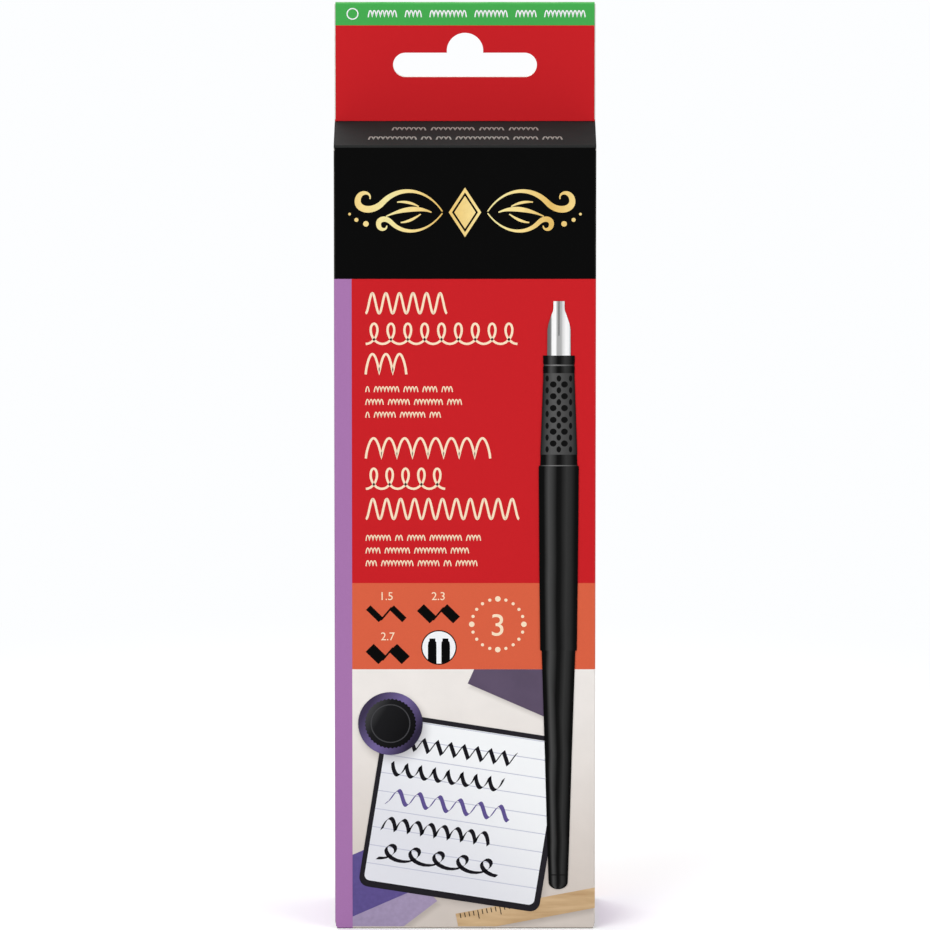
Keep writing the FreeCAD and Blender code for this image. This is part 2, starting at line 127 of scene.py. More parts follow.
class Value:
    """A value in a node tree. Python's signs add the nodes for sums, and < and > give 1 or 0."""

    def __init__(self, nodes, socket):
        self.nodes = nodes
        self.socket = socket

    def math(self, operation, *others):
        return self.nodes.math(operation, self, *others)

    def __rsub__(self, other):
        return self.nodes.math("SUBTRACT", other, self)

    __add__ = partialmethod(math, "ADD")
    __sub__ = partialmethod(math, "SUBTRACT")
    __mul__ = partialmethod(math, "MULTIPLY")
    __truediv__ = partialmethod(math, "DIVIDE")
    __abs__ = partialmethod(math, "ABSOLUTE")
    __gt__ = partialmethod(math, "GREATER_THAN")
    __lt__ = partialmethod(math, "LESS_THAN")


class Nodes:
    """A node tree, with short calls."""

    def __init__(self, tree):
        self.tree = tree

    def feed(self, socket, source):
        """Links a socket to a value, or sets a number or colour."""
        if isinstance(source, Value):
            self.tree.links.new(source.socket, socket)
        else:
            socket.default_value = source

    def node(self, kind, inputs, **settings):
        """A new node, with its inputs by name or number."""
        made = self.tree.nodes.new("ShaderNode" + kind)
        for name, setting in settings.items():
            setattr(made, name, setting)
        for key, source in inputs.items():
            self.feed(made.inputs[key], source)
        return made

    def value(self, kind, output, inputs, **settings):
        return Value(self, self.node(kind, inputs, **settings).outputs[output])

    def math(self, operation, *sources):
        return self.value("Math", 0, dict(enumerate(sources)), operation=operation)

    def seen_rays(self):
        """1 for rays that show a background: from the camera, from a gloss or through glass."""
        rays = self.node("LightPath", {}).outputs
        seen = Value(self, rays["Is Camera Ray"])
        for name in ("Is Glossy Ray", "Is Transmission Ray"):
            seen = seen.math("MAXIMUM", Value(self, rays[name]))
        return seen

    def show(self, output, share, first, second):
        """Sends a mix of two shader nodes to an output."""
        shaders = [Value(self, shader.outputs[0]) for shader in (first, second)]
        mixed = self.value("MixShader", 0, dict(enumerate((share, *shaders))))
        self.feed(self.tree.nodes[output].inputs["Surface"], mixed)


class Paint(Nodes):
    """A material's node tree."""

    def __init__(self, name, roughness=0.5, metallic=0.0, specular=0.5):
        self.material = bpy.data.materials.new(name)
        self.material.use_nodes = True
        super().__init__(self.material.node_tree)
        self.shader = self.tree.nodes["Principled BSDF"]
        self.set("Roughness", roughness)
        self.set("Metallic", metallic)
        self.set("Specular IOR Level", specular)
        coords = self.node("TexCoord", {}).outputs
        self.normal, self.uv, self.place = (Value(self, coords[kind]) for kind in ("Normal", "UV", "Object"))
        # The place on the surface in millimetres, in the piece's own space.
        self.x, self.y, self.z = self.parts(self.scaled(self.place, (1 / MM, 1 / MM, 1 / MM)))

    def set(self, name, source):
        self.feed(self.shader.inputs[name], source)

    def scaled(self, vector, factors):
        return self.value("VectorMath", 0, {0: vector, 1: factors}, operation="MULTIPLY")

    def parts(self, vector):
        return [Value(self, part) for part in self.node("SeparateXYZ", {0: vector}).outputs]

    def noise(self, grain, detail=3.0, stretch=(1, 1, 1)):
        """Noise from 0 to 1 whose lumps are about grain millimetres wide."""
        inputs = {"Vector": self.scaled(self.place, stretch), "Scale": 1 / (grain * MM), "Detail": detail}
        return self.value("TexNoise", "Fac", inputs)

    def between(self, value, low, high, to_low=0.0, to_high=1.0):
        """A smooth step of the value from one range to another."""
        inputs = dict(enumerate((value, low, high, to_low, to_high)))
        return self.value("MapRange", 0, inputs, interpolation_type="SMOOTHSTEP")

    def mix(self, share, first, second, blend="MIX"):
        """A mix of two colours, which are the node's inputs 6 and 7 and its output 2."""
        inputs = {0: share, 6: first, 7: second}
        return self.value("Mix", 2, inputs, data_type="RGBA", blend_type=blend)

    def ramp(self, value, stops):
        made = self.node("ValToRGB", {0: value})
        points = made.color_ramp.elements
        while len(points) < len(stops):
            points.new(0.5)
        for point, (position, colour) in zip(points, stops):
            point.position = position
            point.color = colour
        return Value(self, made.outputs[0])

    def shaded(self, colour, noise, least, most=1.0):
        """The colour made lighter and darker by a noise."""
        stops = [(position, (share, share, share, 1)) for position, share in zip(COLOUR_SPAN, (least, most))]
        return self.mix(1.0, colour, self.ramp(noise, stops), "MULTIPLY")

    def rough(self, noise, low, high):
        self.set("Roughness", self.between(noise, *ROUGH_SPAN, low, high))

    def bump(self, height, depth, strength=0.5, under=None):
        """Bumps of up to depth millimetres, on top of others where they are given."""
        inputs = {"Height": height, "Distance": depth * MM, "Strength": strength}
        if under:
            inputs["Normal"] = under
        bumps = self.value("Bump", 0, inputs)
        self.set("Normal", bumps)
        return bumps

    def finish(self, colour):
        self.set("Base Color", colour)
        return self.material


# Board


def laminated(name):
    """Board under a film, with fine orange peel and slow waves."""
    paint = Paint(name, specular=0.035)
    waves = paint.bump(paint.noise(grain=40, detail=0.0), depth=0.10, strength=0.2)
    paint.bump(paint.noise(grain=0.35), depth=0.004, strength=0.3, under=waves)
    paint.rough(paint.noise(grain=3.5), 0.43, 0.49)
    return paint


def varnished(name):
    """Board under a matt varnish, with a fine tooth."""
    paint = Paint(name, roughness=0.72, specular=0.02)
    paint.bump(paint.noise(grain=0.3), depth=0.004, strength=0.3)
    return paint


def uncoated(name, specular):
    """Board with neither film nor varnish, and a soft tooth."""
    paint = Paint(name, roughness=0.82, specular=specular)
    paint.bump(paint.noise(grain=0.4, detail=5.0), depth=0.012)
    return paint


def mottled(paint, colour, least=0.955):
    """A colour with the fine mottle of offset print."""
    return paint.shaded(colour, paint.noise(grain=0.22), least)


def fibrous(paint):
    """The pale colour of bare board, with short fibres."""
    return paint.shaded(RAW_BOARD, paint.noise(grain=0.5, detail=5.0, stretch=(1, 1, 0.25)), 0.86)


def ink(name, colour, least=0.955):
    paint = laminated(name)
    return paint.finish(mottled(paint, colour, least))


def printed(paint, facing):
    """1 on the printed side of a board and 0 on its cut edges and inside."""
    tilt = 0.3
    inputs = {0: paint.normal, 1: facing}
    return paint.value("VectorMath", "Value", inputs, operation="DOT_PRODUCT") > tilt


def worn(paint, colour, distance):
    """Ink rubbed a little thin along a crease."""
    reach = 0.3
    worst = 0.05
    rub = paint.between(distance, reach, worst, to_high=0.22)
    patches = paint.between(paint.noise(grain=5.0), *COLOUR_SPAN, to_low=0.3)
    return paint.mix(rub * patches, colour, RAW_EDGE)


def board(name, facing, zones, crease=None, folded=None, coat=laminated):
    """Printed board. zones gives its ink, crease where it wears and folded the edge that is a fold."""
    paint = coat(name)
    colour = mottled(paint, zones(paint))
    if crease:
        colour = worn(paint, colour, crease(paint))
    inked = printed(paint, facing)
    if folded:
        inked = inked.math("MAXIMUM", folded(paint))
    return paint.finish(paint.mix(inked, fibrous(paint), colour))


# Distances to creases, and edges of board that are folds: 1 there and 0 elsewhere


def side_crease(paint):
    return HALF - abs(paint.x)


def front_crease(paint):
    return paint.y - FRONT_Y


def tab_crease(paint):
    return TAB_TOP - paint.z


def side_fold(paint):
    return side_crease(paint) < NEAR


def front_fold(paint):
    return front_crease(paint) < NEAR


def glued_fold(paint):
    """The hanger panel's crease with the left side, and where the panel shows behind the lid."""
    shows = 0.4
    edge = (paint.x < NEAR - HALF) * (paint.z < TOP)
    return edge.math("MAXIMUM", abs(paint.z - TOP) < shows)


def tuck_fold(paint):
    fold_tall = 0.2
    return paint.z > TUCK_TOP - fold_tall


def tab_fold(paint):
    """Where the tab's front ply folds over, without the cuts at the fold's ends."""
    fold_tall = 0.6
    sideways = abs(paint.parts(paint.normal)[0])
    return (tab_crease(paint) < fold_tall) * (sideways < 0.5)


def stacked(paint, colour, *layers):
    """Colours by height: the ink of each layer covers all above its edge."""
    for edge, layer in layers:
        colour = paint.mix(paint.z > edge, colour, layer)
    return colour


def striped(paint, colour):
    """A colour with the purple stripe at its left."""
    return paint.mix(paint.x > STRIPE_X, PURPLE, colour)


def table_tone(paint):
    """The picture's table, which grows darker toward the base."""
    return paint.mix(paint.between(paint.z, 0.0, ORANGE_LOW), TABLE_LOW, TABLE)


def front_zones(paint):
    panel = stacked(paint, table_tone(paint), (ORANGE_LOW, ORANGE), (ORANGE_HIGH, RED))
    return stacked(paint, striped(paint, panel), (BAND_LOW, BLACK))


def left_zones(paint):
    return stacked(paint, PURPLE, (BAND_LOW, BLACK))


def right_zones(paint):
    """The front's picture runs a little over the crease."""
    picture = paint.mix(front_crease(paint) > BLEED, table_tone(paint), PURPLE)
    return stacked(paint, picture, (ORANGE_LOW, ORANGE), (ORANGE_HIGH, RED), (BAND_LOW, BLACK))


def back_zones(paint):
    return stacked(paint, striped(paint, RED), (BAND_LOW, BLACK), (TOP, RED), (GREEN_LOW, GREEN))


def base_zones(paint):
    """The front's picture and stripe run a little over the crease, and the rest is purple."""
    return paint.mix(front_crease(paint) < BLEED, PURPLE, striped(paint, TABLE_LOW))


def tab_zones(paint):
    return stacked(paint, RED, (GREEN_LOW, GREEN))


def lid_zones(paint):
    # The lid's colour is painted lighter, for the light that falls on its top.
    return paint.shaded(LID_TOPLIT_BLACK, paint.noise(grain=9, detail=2.0), 0.94)


def flap_zones(paint):
    """Ink runs some way over the crease, and the rest is bare."""
    return paint.mix(side_crease(paint) > FLAP_BLEED, BLACK, RAW_BOARD)


def plain_board(name):
    paint = uncoated(name, specular=0.2)
    return paint.finish(fibrous(paint))


def inner_back_board():
    """Unprinted board whose top edge and the strip just below it are in the lid's colour."""
    dark_strip = 0.25
    paint = uncoated("inner_back_board", specular=0.05)
    return paint.finish(stacked(paint, fibrous(paint), (TOP - dark_strip, LID_TOPLIT_BLACK)))


# Materials of the contents


def ruled(height, pitch, gap_share):
    """1 on rules a pitch apart, with gaps that are a share of the pitch."""
    return (height / pitch).math("FRACT") > gap_share


def leaflet_paper():
    """Folded paper: thin leaves at its edges and faint rules on its face."""
    leaf = 0.125
    paint = Paint("leaflet_paper", roughness=0.85, specular=0.15)
    paint.bump(paint.y.math("PINGPONG", leaf), depth=0.05)
    paper = paint.shaded(WHITE, paint.noise(grain=0.6, detail=5.0), 0.93)
    return paint.finish(paint.mix(ruled(paint.z, pitch=6.0, gap_share=0.94), paper, srgb(150, 150, 158)))


def gloss_plastic(name, colour):
    """Polished plastic with faint flow marks and fine scratches."""
    paint = Paint(name)
    paint.rough(paint.noise(grain=0.5, detail=4.0, stretch=(1, 1, 0.06)), 0.12, 0.24)
    paint.bump(paint.noise(grain=2.2), depth=0.004)
    return paint.finish(paint.shaded(colour, paint.noise(grain=4), 0.8))


def grip_plastic():
    """Soft dark plastic with a honeycomb of small dimples, their floors painted darker as shade."""
    cell = 1.6
    paint = Paint("grip_plastic", specular=0.4)
    inputs = {"Vector": paint.place, "Scale": 1 / (cell * MM), "Randomness": 0.12}
    walls = paint.between(paint.value("TexVoronoi", "Distance", inputs), 0.25, 0.45)
    paint.bump(walls, depth=0.25, strength=0.9)
    paint.rough(paint.noise(grain=0.3), 0.5, 0.7)
    # The dimples' floors are darker than the walls between them: painted shade.
    return paint.finish(paint.mix(walls, srgb(24, 24, 25), srgb(46, 46, 48)))


def matt_plastic(name, colour):
    """Moulded plastic with a fine spark-eroded grain."""
    paint = Paint(name, specular=0.35)
    paint.bump(paint.noise(grain=0.18), depth=0.01)
    paint.rough(paint.noise(grain=0.4), 0.5, 0.7)
    return paint.finish(paint.shaded(colour, paint.noise(grain=1.2), 0.85))


def brushed_steel(name, colour, low, high):
    """Steel with fine lines along it, and a roughness from low to high."""
    paint = Paint(name, metallic=1.0)
    lines = paint.noise(grain=0.12, detail=4.0, stretch=(1, 1, 0.04))
    paint.rough(lines, low, high)
    paint.bump(lines, depth=0.004)
    return paint.finish(paint.shaded(colour, lines, 0.88))


def cartridge_plastic():
    """Clear plastic full of dark ink, paler toward the cartridge's two sides."""
    palest_at = 4.0
    paint = Paint("cartridge_plastic")
    paint.rough(paint.noise(grain=1.5), 0.08, 0.2)
    tint = paint.ramp(abs(paint.x) / palest_at, [(0.2, srgb(16, 15, 22)), (1.0, srgb(46, 42, 62))])
    return paint.finish(paint.shaded(tint, paint.noise(grain=2.0), 0.85))


# Outlines and paths, as points (across, up) on a face


def direction(turn):
    """Cosine and sine of a turn in degrees."""
    angle = math.radians(turn)
    return math.cos(angle), math.sin(angle)


def turned_point(centre, x, z, turn):
    """A point given from a centre, after a turn about it in degrees."""
    cosine, sine = direction(turn)
    return (centre[0] + x * cosine - z * sine, centre[1] + x * sine + z * cosine)


def upright_box(left, right, low, high):
    return [(left, low), (right, low), (right, high), (left, high)]


def turned_box(centre, size, turn):
    wide, tall = size[0] / 2, size[1] / 2
    return [turned_point(centre, x, z, turn) for x, z in upright_box(-wide, wide, -tall, tall)]


def rounded_box(centre, size, turn, radius, steps=6):
    points = []
    middles = turned_box(centre, (size[0] - 2 * radius, size[1] - 2 * radius), turn)
    for quarter, middle in zip((2, 3, 0, 1), middles):
        for i in range(steps + 1):
            points.append(turned_point(middle, radius, 0, turn + 90 * (quarter + i / steps)))
    return points


def circle(centre, radius, count=48):
    return [turned_point(centre, radius, 0, 360 * i / count) for i in range(count)]


def bezier(points, steps=20):
    """Points along a chain of cubic curves."""
    path = [Vector(points[0])]
    for i in range(0, len(points) - 1, 3):
        a, b, c, d = (Vector(p) for p in points[i : i + 4])
        for step in range(1, steps + 1):
            t = step / steps
            s = 1 - t
            path.append(a * s**3 + 3 * b * t * s * s + 3 * c * t * t * s + d * t**3)
    return path


# Drills: rows of strokes for practice. A shape gives shares of its length and height.


def wave(t):
    return t, -math.cos(math.tau * t) / 2


def loop(t):
    lean = 0.42
    return t + lean * math.sin(math.tau * t), -math.cos(math.tau * t) / 2


def arch(t):
    """An arch that is rounder than a sine's."""
    power = 0.7
    return t, abs(math.sin(math.pi * t)) ** power - 0.5


def cup(t):
    return t, -arch(t)[1]


def zigzag(t):
    return t, abs((t % 1) * 2 - 1) - 0.5


def running(shape, start, length, height, count, steps=20, turn=0.0):
    """A row of strokes from a start on its middle line, turned about that start."""
    path = []
    for i in range(count * steps + 1):
        across, up = shape(i / steps)
        path.append(turned_point(start, across * length / count, up * height, turn))
    return path


# Prints: thin closed layers of ink on one face of the carton


def plane(origin, right, up):
    """A face's origin, its right and up, and the direction that it faces."""
    return Vector(origin), right, up, right.cross(up)


FACES = {
    "front": plane((0, FRONT_Y, 0), X, Z),
    "right": plane((HALF, 0, 0), Y, Z),
    "left": plane((-HALF, 0, 0), -Y, Z),
    "back": plane((0, BACK_Y, 0), -X, Z),
    "tab": plane((0, TAB_LOW.y, 0), X, Z),
    "lid": plane((0, 0, TOP), X, Y),
}

# Share of a font's size that its figures are tall.
FIGURE_SHARE = 0.73


def add_object(name, data):
    thing = bpy.data.objects.new(name, data)
    bpy.context.scene.collection.objects.link(thing)
    return thing


class Print:
    """Shapes of ink on one face. fill is a material, and level counts layers above the piece's own."""

    def __init__(self, face, level=0):
        self.origin, self.right, self.up, self.out = FACES[face]
        self.level = level
        self.mesh = bmesh.new()
        self.uv = self.mesh.loops.layers.uv.new("UVMap")
        self.materials = {}

    def slot(self, fill):
        return self.materials.setdefault(fill, len(self.materials))

    def heights(self, level):
        layers = self.level + level
        return layers * INK + INK_GAP, (layers + 1) * INK

    def place(self, point, lift):
        """Where a point of the face is in the scene, lifted off the board."""
        return (self.origin + self.right * point[0] + self.up * point[1] + self.out * lift) * MM

    def vertex(self, point, lift):
        return self.mesh.verts.new(self.place(point, lift))

    def face(self, vertices, shares, fill):
        made = self.mesh.faces.new(vertices)
        made.material_index = self.slot(fill)
        for corner, share in zip(made.loops, shares):
            corner[self.uv].uv = (share, 0.0)

    def solid(self, rings, shares, fill):
        """A closed solid through rings of vertices, with the texture's shares round each ring."""
        count = len(shares)
        for near, far in zip(rings, rings[1:]):
            for i in range(count):
                j = (i + 1) % count
                sides = (shares[i], shares[j], shares[j], shares[i])
                self.face((near[i], near[j], far[j], far[i]), sides, fill)
        self.face(rings[0][::-1], shares[::-1], fill)
        self.face(rings[-1], shares, fill)

    def polygon(self, points, fill, level=0):
        """A flat shape from its outline, taken either way round."""
        turning = sum(a[0] * b[1] - b[0] * a[1] for a, b in zip(points, points[1:] + points[:1]))
        if turning < 0:
            points = points[::-1]
        rings = [[self.vertex(p, lift) for p in points] for lift in self.heights(level)]
        self.solid(rings, [0.0] * len(points), fill)

    def ribbon(self, pairs, fill, level=0):
        """A strip through pairs of points on its edges, cut into closed bars where it turns over."""
        run = pairs[:1]
        sign = 0
        for (a, b), (c, d) in zip(pairs, pairs[1:]):
            along = Vector(c) + Vector(d) - Vector(a) - Vector(b)
            side = Vector(b) + Vector(d) - Vector(a) - Vector(c)
            now = 1 if side.cross(along) >= 0 else -1
            if sign and now != sign:
                self.bar(run, sign, fill, level)
                run = run[-1:]
            sign = now
            run.append((c, d))
        self.bar(run, sign, fill, level)

    def bar(self, run, sign, fill, level):
        """A flat bar through pairs of points, with its texture from 0 to 1 across it."""
        low, high = self.heights(level)
        rings = []
        for a, b in (pair[::sign] for pair in run):
            rings.append([self.vertex(*corner) for corner in ((a, low), (b, low), (b, high), (a, high))])
        self.solid(rings, (0.0, 1.0, 1.0, 0.0), fill)

    def pen_stroke(self, path, nib, angle, fill, level=0):
        """A stroke of a broad nib that is held at a steady angle in degrees."""
        half = Vector(direction(angle)) * nib / 2
        self.ribbon([(Vector(p) - half, Vector(p) + half) for p in path], fill, level)

    def swell(self, path, thick, thin, fill, level=0):
        """A stroke that swells from a hairline to its middle and thins again."""
        swelling = 1.5
        path = [Vector(p) for p in path]
        last = len(path) - 1
        pairs = []
        for i, point in enumerate(path):
            ahead = path[min(i + 1, last)] - path[max(i - 1, 0)]
            width = thin + (thick - thin) * math.sin(math.pi * i / last) ** swelling
            side = Vector((ahead.y, -ahead.x)).normalized() * width / 2
            pairs.append((point - side, point + side))
        self.ribbon(pairs, fill, level)

    def line(self, path, width, fill, level=0):
        self.swell(path, width, width, fill, level)

    def words(self, start, counts, fill, pitch, gap, height, width):
        """A row of small arches in groups, from a start on its middle line."""
        across, up = start
        for count in counts:
            length = count * pitch
            self.line(running(arch, (across, up), length, height, count, 10), width, fill)
            across += length + gap

    def disc(self, centre, radius, fill, level=0):
        self.polygon(circle(centre, radius), fill, level)

    def ring(self, centre, radius, width, fill, level=0):
        pairs = list(zip(circle(centre, radius + width / 2), circle(centre, radius - width / 2)))
        self.ribbon(pairs + pairs[:1], fill, level)

    def figures(self, text, centre, height, fill):
        low, high = self.heights(0)
        curve = bpy.data.curves.new("figures", "FONT")
        curve.body = text
        curve.size = height / FIGURE_SHARE
        curve.align_x = "CENTER"
        curve.resolution_u = 6
        curve.extrude = (high - low) / 2
        mesh = bpy.data.meshes.new_from_object(bpy.data.objects.new("figures", curve))
        for vertex in mesh.vertices:
            across, up, lift = vertex.co
            point = (centre[0] + across, centre[1] + up - height / 2)
            vertex.co = self.place(point, (low + high) / 2 + lift)
        for polygon in mesh.polygons:
            polygon.material_index = self.slot(fill)
        self.mesh.from_mesh(mesh)
        # This takes the object with it.
        bpy.data.curves.remove(curve)
        bpy.data.meshes.remove(mesh)

    def finish(self, name, body="carton"):
        mesh = bpy.data.meshes.new(name)
        self.mesh.to_mesh(mesh)
        self.mesh.free()
        for fill in self.materials:
            mesh.materials.append(fill)
        piece = add_object(name, mesh)
        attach(piece, body)


# Upper front: ornament, drills and nib samples

# Widths of the set's nibs, the angle in degrees at which drills are written, and the width of guide lines.
NIBS = (1.5, 2.3, 2.7)
NIB_ANGLE = 40
GUIDE = 0.16


def gold_foil():
    """Stamped foil whose colour shifts from deep to pale gold in bands across it: painted sheen."""
    sheen_band = 12.0
    paint = Paint("gold_foil", metallic=1.0)
    paint.rough(paint.noise(grain=0.8), 0.26, 0.4)
    paint.bump(paint.noise(grain=0.3), depth=0.004)
    # Paler and deeper bands of gold across the foil: painted sheen.
    sheen_sweep = (paint.x + HALF).math("PINGPONG", sheen_band) / sheen_band
    tones = [(0.0, srgb(226, 186, 104)), (0.55, srgb(244, 217, 145)), (1.0, srgb(238, 226, 160))]
    return paint.finish(paint.ramp(sheen_sweep, tones))


# The ornament's right half, from its middle: points and thickness of each curve, place and radius of beads.
SCROLLS = [
    ([(5.0, 0.2), (8.5, 5.6), (14.5, 6.2), (18.2, 2.2), (20.6, -0.4), (24.4, 0.6), (23.6, 3.2),
      (23.0, 5.0), (20.6, 4.6), (21.0, 3.0)], 1.5),
    ([(5.0, -0.2), (8.5, -5.0), (13.5, -5.2), (16.2, -2.4), (17.6, -0.8), (19.6, -1.6), (19.0, -3.2),
      (18.6, -4.2), (17.2, -4.0), (17.3, -3.0)], 1.2),
    ([(7.4, 0.0), (10.0, 1.2), (13.6, 0.9), (17.4, -0.9)], 1.1),
    ([(10.2, 1.3), (11.8, 2.2), (13.4, 2.5), (15.0, 2.3)], 0.6),
    ([(9.8, -0.4), (11.4, -1.6), (12.8, -2.2), (14.2, -2.3)], 0.6),
]
BEADS = [(21.9, -2.6, 0.62), (24.0, -1.7, 0.45), (25.5, -0.4, 0.3)]


def ornament():
    """A gold flourish in the black band: a lozenge between two leaf scrolls."""
    art = Print("front")
    gold = gold_foil()
    gap = ink("lozenge_gap", BLACK)
    middle = (TOP + BAND_LOW) / 2
    lozenge = [(0, 5.6), (3.6, 0), (0, -5.6), (-3.6, 0)]
    hairline = 0.28
    for level, (scale, fill) in enumerate(((1.0, gold), (0.80, gap), (0.66, gold))):
        art.polygon([(x * scale, middle + z * scale) for x, z in lozenge], fill, level)
    for side in (1, -1):
        for points, thick in SCROLLS:
            art.swell(bezier([(side * x, middle + z) for x, z in points]), thick, hairline, gold)
        for x, z, radius in BEADS:
            art.disc((side * x, middle + z), radius, gold)
    art.finish("front_gold_ornament")


def drill_rows():
    """Cream writing exercises on the red panel: large rows, and small rows below each group."""
    art = Print("front")
    cream = ink("cream_ink", CREAM)
    left = -22.0
    tall = 4.6
    line = 0.52
    # Each large row: height of its middle line, length, number of strokes and their shape.
    large_rows = [
        (142.9, 18.0, 6, wave), (136.0, 33.6, 9, loop), (129.1, 9.0, 3, arch),
        (110.0, 27.6, 8, arch), (103.1, 17.6, 5, loop), (96.2, 34.0, 11, wave),
    ]
    for up, length, count, shape in large_rows:
        art.line(running(shape, (left, up), length, tall, count, 24), line, cream)
    # Each small row: height of its middle line and the arches in each group.
    small_rows = [
        (123.4, (1, 7, 4, 4, 3)), (120.5, (5, 6, 8, 4)), (117.6, (1, 6, 7, 3)),
        (89.6, (7, 2, 5, 9, 4)), (86.7, (4, 7, 9, 5)), (83.8, (3, 9, 6, 2, 6)),
    ]
    for up, counts in small_rows:
        art.words((left, up), counts, cream, pitch=0.78, gap=1.1, height=1.25, width=0.24)
    art.finish("front_cream_drills")


def broad_zigzag(art, centre, nib, fill, scale=1.0):
    """A sample of a broad nib: two square strokes joined by a hairline."""
    drop = 1.42 * scale
    apart = 2.6 * scale
    hairline = 0.38 * scale
    square_on = 45
    x, z = centre
    for side in (x - apart, x + apart):
        art.pen_stroke([(side - drop, z + drop), (side + drop, z - drop)], nib, square_on, fill)
    foot, head = (x - apart + drop, z - drop), (x + apart - drop, z + drop)
    art.line([foot, head], hairline, fill, level=1)


def cartridge_pair(art, centre, radius, fill):
    """Two cartridges that stand side by side in a disc and run off its lower edge."""
    shape = [
        (0.55, 0.4), (0.6, 1.2), (0.8, 1.5), (0.8, 2.05),
        (2.1, 2.05), (2.1, 1.5), (2.35, 1.2), (2.45, 0.4),
    ]
    for x in (2.45, 2.1, 1.7, 1.3, 0.9, 0.55):
        shape.append((x, -math.sqrt(radius**2 - x**2)))
    for side in (-1, 1):
        art.polygon([(centre[0] + side * x, centre[1] + z) for x, z in shape], fill, level=2)


def nib_samples():
    """A zigzag and a figure for each nib width, a count in a ring of dots, and cartridges in a disc."""
    art = Print("front")
    black = ink("sample_black", BLACK)
    cream = ink("sample_cream", CREAM)
    drawn = 0.94
    figure_tall = 1.9
    figure_up = 4.1
    for nib, (across, up) in zip(NIBS, ((-17.5, 72.3), (-5.9, 72.3), (-17.2, 63.1))):
        broad_zigzag(art, (across, up), nib * drawn, black)
        art.figures(str(nib), (across, up + figure_up), figure_tall, cream)
    disc = (-5.8, 64.6)
    disc_radius = 3.95
    white_radius = 3.7
    cut_radius = 3.72
    art.disc(disc, disc_radius, black)
    art.disc(disc, white_radius, ink("sample_white", WHITE), level=1)
    cartridge_pair(art, disc, cut_radius, black)
    ring = (7.3, 69.9)
    ring_radius = 5.8
    count_tall = 5.2
    small_dot, large_dot = 0.36, 0.62
    art.figures(str(len(NIBS)), ring, count_tall, cream)
    for i, spot in enumerate(circle(ring, ring_radius, 20)):
        art.disc(spot, small_dot if i % 5 else large_dot, cream)
    art.finish("front_nib_samples")


# Lower front: a picture of a writing table, seen from above

# Levels of ink in the picture, from the board up.
TABLE_LEVEL = 0
CARD_LEVEL = 1
RULER_LEVEL = 2
PAD_LEVEL = 4
SHEET_LEVEL = 5
DRILL_LEVEL = 6
POT_LEVEL = 7
PEN_LEVEL = 8

# Flat things on the table: middle, size and turn in degrees. A card also has a name, a colour and a level.
PAD = ((-0.6, 26.8), (40.8, 40.4), -9.0)
SHEET = ((-0.7, 27.0), (38.4, 37.8), -9.0)
RULER = ((16.0, 4.6), (36.0, 4.6), 11.0)
CARDS = [
    (((-19.5, 5.5), (22.0, 15.0), 38.0), "lilac_card", LILAC, CARD_LEVEL),
    (((-21.5, 11.5), (17.0, 13.0), 24.0), "violet_card", VIOLET, CARD_LEVEL + 1),
    (((11.5, 57.5), (19.0, 11.0), -24.0), "dark_card", DARK_VIOLET, CARD_LEVEL),
]
POT_CENTRE = (-16.6, 47.2)
POT_RADIUS = 7.2


def measured(paint, centre, drop=0.0):
    """X and Z from a thing's centre, or from that of its shade, which drops down and to the right."""
    lean = 0.6
    return paint.x - (centre[0] + drop * lean), paint.z - (centre[1] - drop)


def along_turn(x, z, turn):
    """X and Z as they run along and across a thing that is turned."""
    cosine, sine = direction(turn)
    return x * cosine + z * sine, z * cosine - x * sine


def flat_shade(paint, centre, size, turn, soft):
    along, across = along_turn(*measured(paint, centre, drop=0.9), turn)
    outside = (abs(along) - size[0] / 2).math("MAXIMUM", abs(across) - size[1] / 2)
    return paint.between(outside, soft, -soft, to_high=0.34)


def pot_shade(paint):
    soft = 1.8
    x, z = measured(paint, POT_CENTRE, drop=1.3)
    distance = (x * x + z * z).math("SQRT")
    return paint.between(distance, POT_RADIUS + soft, POT_RADIUS - soft, to_high=0.5)


def table_print():
    """The pale table, with a soft shade under each thing that lies on it."""
    paint = laminated("picture_table")
    colour = paint.shaded(table_tone(paint), paint.noise(grain=7, detail=4.0), 0.95)
    things = [(PAD, 1.5), *((card[0], 0.8) for card in CARDS), (RULER, 0.9)]
    for shade in [flat_shade(paint, *thing, soft) for thing, soft in things] + [pot_shade(paint)]:
        colour = paint.mix(shade, colour, srgb(120, 108, 102))
    return paint.finish(colour)


def paper_print():
    """The white sheet: a slow shade across it, faint rules and the shade of the ink pot."""
    below_sheet = 40.0
    shade_reach = 24.0
    paint = laminated("picture_paper")
    centre, _, turn = SHEET
    x, z = measured(paint, centre)
    up = along_turn(x, z, turn)[1]
    paper = paint.mix(paint.between(x + z, -shade_reach, shade_reach), srgb(226, 227, 234), WHITE)
    paper = paint.mix(ruled(up + below_sheet, pitch=4.2, gap_share=0.95), paper, srgb(196, 198, 214))
    return paint.finish(paint.mix(pot_shade(paint), paper, srgb(120, 112, 118)))


def card_print(name, colour):
    """Coloured card, with a slow shade and a little tooth."""
    dark_end, light_end = -30.0, 60.0
    paint = laminated(name)
    toothed = paint.shaded(colour, paint.noise(grain=0.9, detail=5.0), 0.86)
    light = paint.shaded(colour, paint.noise(grain=5), 1.05, 1.2)
    return paint.finish(paint.mix(paint.between(paint.x + paint.z, dark_end, light_end), toothed, light))


def pot_print(name, tones):
    """A piece of the ink pot, shaded across on a slant."""
    slant = 0.6
    paint = laminated(name)
    x, z = measured(paint, POT_CENTRE)
    return paint.finish(paint.ramp((x - z * slant) / (2 * POT_RADIUS) + 0.5, tones))


def wood_print():
    """Pale wood with its grain along the ruler."""
    paint = laminated("picture_wood")
    grain = paint.noise(grain=1.2, detail=5.0, stretch=(0.12, 1, 1))
    return paint.finish(paint.ramp(grain, [(0.25, srgb(186, 152, 112)), (0.75, srgb(216, 186, 146))]))


